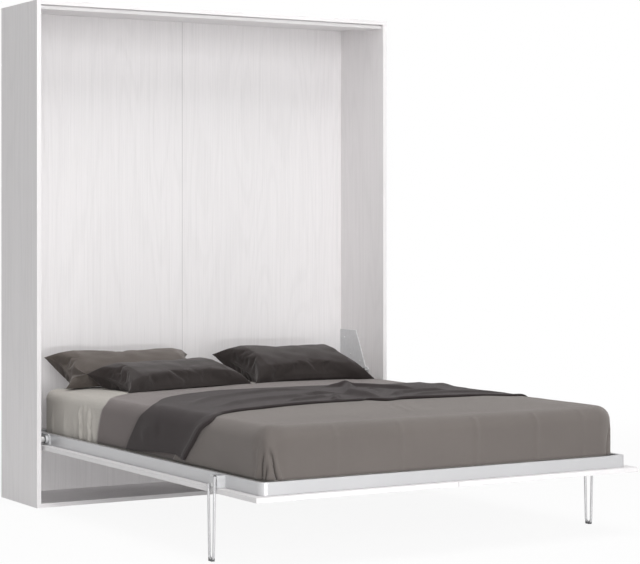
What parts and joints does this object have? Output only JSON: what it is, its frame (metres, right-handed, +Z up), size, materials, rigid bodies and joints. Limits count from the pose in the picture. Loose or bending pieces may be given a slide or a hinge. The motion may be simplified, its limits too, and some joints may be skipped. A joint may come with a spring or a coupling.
{
  "type": "wall bed",
  "caption": "Vertical wall bed, shown open: a tall cabinet whose fold-down front carries a slatted frame, made-up double mattress, pillows and swing-down hairpin legs.",
  "frame": {"origin": "on the floor at the wall, at the middle of the width, on the lower edge of the bottom panel's back face", "axes": "+X to the right seen from the room, +Y into the wall, +Z up"},
  "size_m": [1.81, 2.24, 2.225],
  "materials": {
    "white_ash_board": "satin",
    "grey_ash_board": "satin",
    "silver_paint": "satin",
    "grey_steel": "satin",
    "zinc_steel": "satin",
    "black_paint": "satin",
    "polished_rod": "gloss",
    "dark_plastic": "matte",
    "birch_ply": "satin",
    "taupe_sheet": "matte",
    "mid_grey_sheet": "matte",
    "charcoal_blanket": "matte",
    "warm_grey_cover": "matte",
    "taupe_pillow": "matte",
    "charcoal_pillow": "matte"
  },
  "bodies": {
    "cabinet": {"left_side_panel": "white_ash_board", "right_side_panel": "white_ash_board", "top_panel": "white_ash_board", "bottom_panel": "white_ash_board", "back_panel_left": "white_ash_board", "back_panel_right": "white_ash_board", "back_join_strip": "white_ash_board", "top_stop_rail": "white_ash_board", "cam_locks": "zinc_steel", "cam_bolts": "zinc_steel", "wall_brackets": "grey_steel", "wall_bracket_screws": "zinc_steel", "left_hinge_plate": "grey_steel", "right_hinge_plate": "grey_steel", "hinge_plate_screws": "zinc_steel", "pivot_axles": "zinc_steel", "strut_upper_pins": "zinc_steel"},
    "bed": {"front_panel_left": "grey_ash_board", "front_panel_right": "grey_ash_board", "left_side_rail": "silver_paint", "right_side_rail": "silver_paint", "foot_rail": "silver_paint", "head_rail": "silver_paint", "centre_beam": "silver_paint", "slats_left": "birch_ply", "slats_right": "birch_ply", "slat_holders": "dark_plastic", "frame_angles": "grey_steel", "frame_angle_screws": "zinc_steel", "left_bed_arm": "grey_steel", "right_bed_arm": "grey_steel", "bed_arm_bolts": "zinc_steel", "pivot_bushes": "dark_plastic", "strut_lower_pins": "zinc_steel", "left_leg_bracket": "grey_steel", "right_leg_bracket": "grey_steel", "leg_pivot_bolts": "zinc_steel", "mattress": "taupe_sheet", "top_sheet": "mid_grey_sheet", "blanket": "charcoal_blanket", "bed_cover": "warm_grey_cover", "pillow_left_back": "taupe_pillow", "pillow_left_front": "charcoal_pillow", "pillow_right": "charcoal_pillow"},
    "left_leg": {"left_leg": "silver_paint", "left_leg_cap": "dark_plastic", "left_leg_glide": "dark_plastic"},
    "right_leg": {"right_leg": "silver_paint", "right_leg_cap": "dark_plastic", "right_leg_glide": "dark_plastic"},
    "left_cylinder": {"left_strut_cylinder": "black_paint"},
    "left_rod": {"left_strut_rod": "polished_rod"},
    "right_cylinder": {"right_strut_cylinder": "black_paint"},
    "right_rod": {"right_strut_rod": "polished_rod"}
  },
  "joints": [
    {"name": "bed_fold", "type": "hinge", "parent": "cabinet", "child": "bed", "pos_m": [0, -0.357, 0.291], "axis": [-1, 0, 0], "range_deg": [0, 90], "deforming": ["pillow_left_back", "pillow_left_front", "pillow_right"]},
    {"name": "left_leg_fold", "type": "hinge", "parent": "bed", "child": "left_leg", "pos_m": [-0.8785, -1.926, 0.278], "axis": [1, 0, 0], "range_deg": [0, 90]},
    {"name": "right_leg_fold", "type": "hinge", "parent": "bed", "child": "right_leg", "pos_m": [0.8785, -1.926, 0.278], "axis": [1, 0, 0], "range_deg": [0, 90]},
    {"name": "left_cylinder_swing", "type": "hinge", "parent": "cabinet", "child": "left_cylinder", "pos_m": [-0.86, -0.25932, 0.52113], "axis": [-1, 0, 0], "range_deg": [0, 45]},
    {"name": "left_rod_swing", "type": "hinge", "parent": "bed", "child": "left_rod", "pos_m": [-0.86, -0.10734, 0.27792], "axis": [-1, 0, 0], "range_deg": [-45, 0]},
    {"name": "right_cylinder_swing", "type": "hinge", "parent": "cabinet", "child": "right_cylinder", "pos_m": [0.86, -0.25932, 0.52113], "axis": [-1, 0, 0], "range_deg": [0, 45]},
    {"name": "right_rod_swing", "type": "hinge", "parent": "bed", "child": "right_rod", "pos_m": [0.86, -0.10734, 0.27792], "axis": [-1, 0, 0], "range_deg": [-45, 0]}
  ],
  "couplings": [
    {"joint": "left_leg_fold", "follows": "bed_fold", "ratio": 1},
    {"joint": "right_leg_fold", "follows": "bed_fold", "ratio": 1},
    {"joint": "left_cylinder_swing", "follows": "bed_fold", "ratio": 0.5},
    {"joint": "left_rod_swing", "follows": "bed_fold", "ratio": -0.5},
    {"joint": "right_cylinder_swing", "follows": "bed_fold", "ratio": 0.5},
    {"joint": "right_rod_swing", "follows": "bed_fold", "ratio": -0.5}
  ]
}
